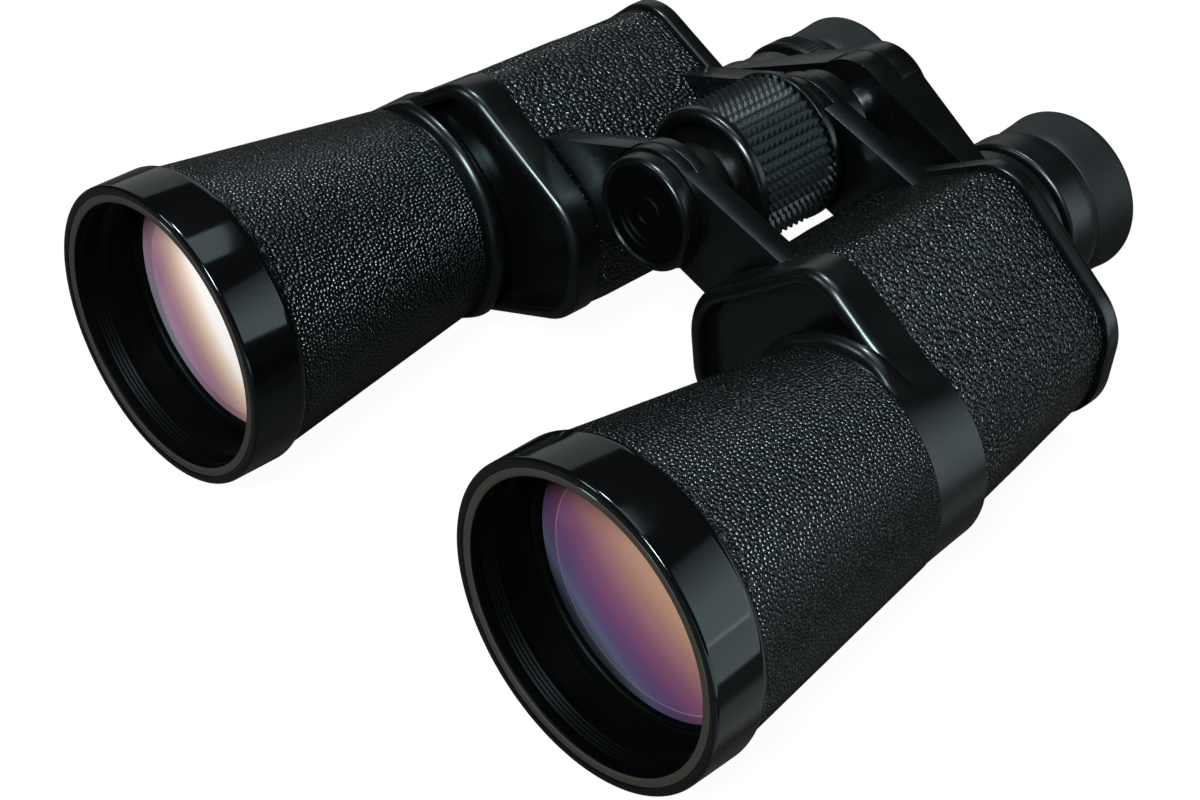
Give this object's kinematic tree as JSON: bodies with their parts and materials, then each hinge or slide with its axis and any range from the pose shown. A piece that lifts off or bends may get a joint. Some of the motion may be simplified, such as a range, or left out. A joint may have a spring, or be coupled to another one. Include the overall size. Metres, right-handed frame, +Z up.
{
  "type": "binoculars",
  "caption": "Porro-prism binoculars with centre focusing, pebbled black covering, a central hinge and rubber eyecups.",
  "frame": {"origin": "under the middle of the object, on the surface it stands on", "axes": "+X towards the left barrel, +Y from the objectives to the eyepieces, +Z up"},
  "size_m": [0.1762, 0.1634, 0.0676],
  "materials": {
    "satin_black_casting": "satin black enamel on an aluminium casting",
    "leatherette": "pebbled black leatherette",
    "gloss_black_ring": "gloss black enamel",
    "matte_black_tube": "matte black anodising",
    "satin_black_ocular": "satin black anodising",
    "shelf_alloy": "dull grey",
    "dark_steel": "blackened",
    "spring_steel": "bare spring strip",
    "hinge_steel": "ground and greased",
    "prism_glass": "polished",
    "coated_glass": "polished, with a magenta and amber coating",
    "wheel_plastic": "satin black",
    "grip_rubber": "matte black, with small four-sided points",
    "eyecup_rubber": "matte black"
  },
  "bodies": {
    "left_barrel": {"left_housing": "satin_black_casting", "left_front_arm": "satin_black_casting", "left_rear_arm": "satin_black_casting", "left_rear_cover": "satin_black_casting", "left_cover_screws": "dark_steel", "left_prism_shelf": "shelf_alloy", "left_front_prism": "prism_glass", "left_rear_prism": "prism_glass", "left_prism_clips": "spring_steel", "left_body_leatherette": "leatherette", "left_objective_tube": "matte_black_tube", "left_tube_leatherette": "leatherette", "left_front_ring": "gloss_black_ring", "left_objective_cell": "matte_black_tube", "left_crown_lens": "coated_glass", "left_flint_lens": "coated_glass", "left_lens_ring": "matte_black_tube", "left_eyepiece_guide": "matte_black_tube", "hinge_tube": "hinge_steel", "tension_nut": "hinge_steel", "hinge_cap": "satin_black_casting", "wheel_spacer": "matte_black_tube", "hinge_collar": "satin_black_casting"},
    "right_barrel": {"right_housing": "satin_black_casting", "right_front_arm": "satin_black_casting", "right_rear_arm": "satin_black_casting", "right_rear_cover": "satin_black_casting", "right_cover_screws": "dark_steel", "right_prism_shelf": "shelf_alloy", "right_front_prism": "prism_glass", "right_rear_prism": "prism_glass", "right_prism_clips": "spring_steel", "right_body_leatherette": "leatherette", "right_objective_tube": "matte_black_tube", "right_tube_leatherette": "leatherette", "right_front_ring": "gloss_black_ring", "right_objective_cell": "matte_black_tube", "right_crown_lens": "coated_glass", "right_flint_lens": "coated_glass", "right_lens_ring": "matte_black_tube", "right_eyepiece_guide": "matte_black_tube"},
    "focus_wheel": {"focus_wheel": "wheel_plastic", "wheel_grip": "grip_rubber"},
    "left_eyepiece": {"left_bridge_arm": "satin_black_casting", "left_ocular_tube": "satin_black_ocular", "left_field_lens": "coated_glass", "left_lens_carrier": "matte_black_tube", "left_eye_lens": "coated_glass", "left_eyepiece_ring": "satin_black_ocular", "left_eyecup": "eyecup_rubber", "focus_spindle": "hinge_steel", "drive_pin": "hinge_steel", "bridge_screw": "dark_steel"},
    "right_eyepiece": {"right_bridge_arm": "satin_black_casting", "right_ocular_tube": "satin_black_ocular", "right_field_lens": "coated_glass"},
    "dioptre_ring": {"dioptre_ring": "satin_black_ocular"},
    "right_eye_cell": {"right_lens_carrier": "matte_black_tube", "right_eye_lens": "coated_glass", "right_eyecup": "eyecup_rubber"}
  },
  "joints": [
    {"name": "interpupillary_hinge", "type": "hinge", "parent": "left_barrel", "child": "right_barrel", "pos_m": [0, 0.01429, 0.05235], "axis": [0, 1, 0], "range_deg": [-6, 45]},
    {"name": "left_eyepiece_travel", "type": "slide", "parent": "left_barrel", "child": "left_eyepiece", "axis": [0, 1, 0], "range_m": [-0.0035, 0.0045]},
    {"name": "right_eyepiece_travel", "type": "slide", "parent": "right_barrel", "child": "right_eyepiece", "axis": [0, 1, 0], "range_m": [-0.00355, 0.00455]},
    {"name": "focus_turn", "type": "hinge", "parent": "left_barrel", "child": "focus_wheel", "pos_m": [0, 0.01429, 0.05235], "axis": [0, 1, 0], "range_deg": [-202, 259]},
    {"name": "dioptre_travel", "type": "slide", "parent": "right_eyepiece", "child": "right_eye_cell", "axis": [0, 1, 0], "range_m": [-0.0012, 0.0012]},
    {"name": "dioptre_turn", "type": "hinge", "parent": "right_eye_cell", "child": "dioptre_ring", "pos_m": [-0.02885, 0.06628, 0.03215], "axis": [0, 1, 0], "range_deg": [-61, 61]}
  ],
  "couplings": [
    {"joint": "right_eyepiece_travel", "follows": "left_eyepiece_travel", "ratio": 1},
    {"joint": "focus_turn", "follows": "left_eyepiece_travel", "rad_per_m": 1000},
    {"joint": "dioptre_turn", "follows": "dioptre_travel", "rad_per_m": 872.66}
  ]
}
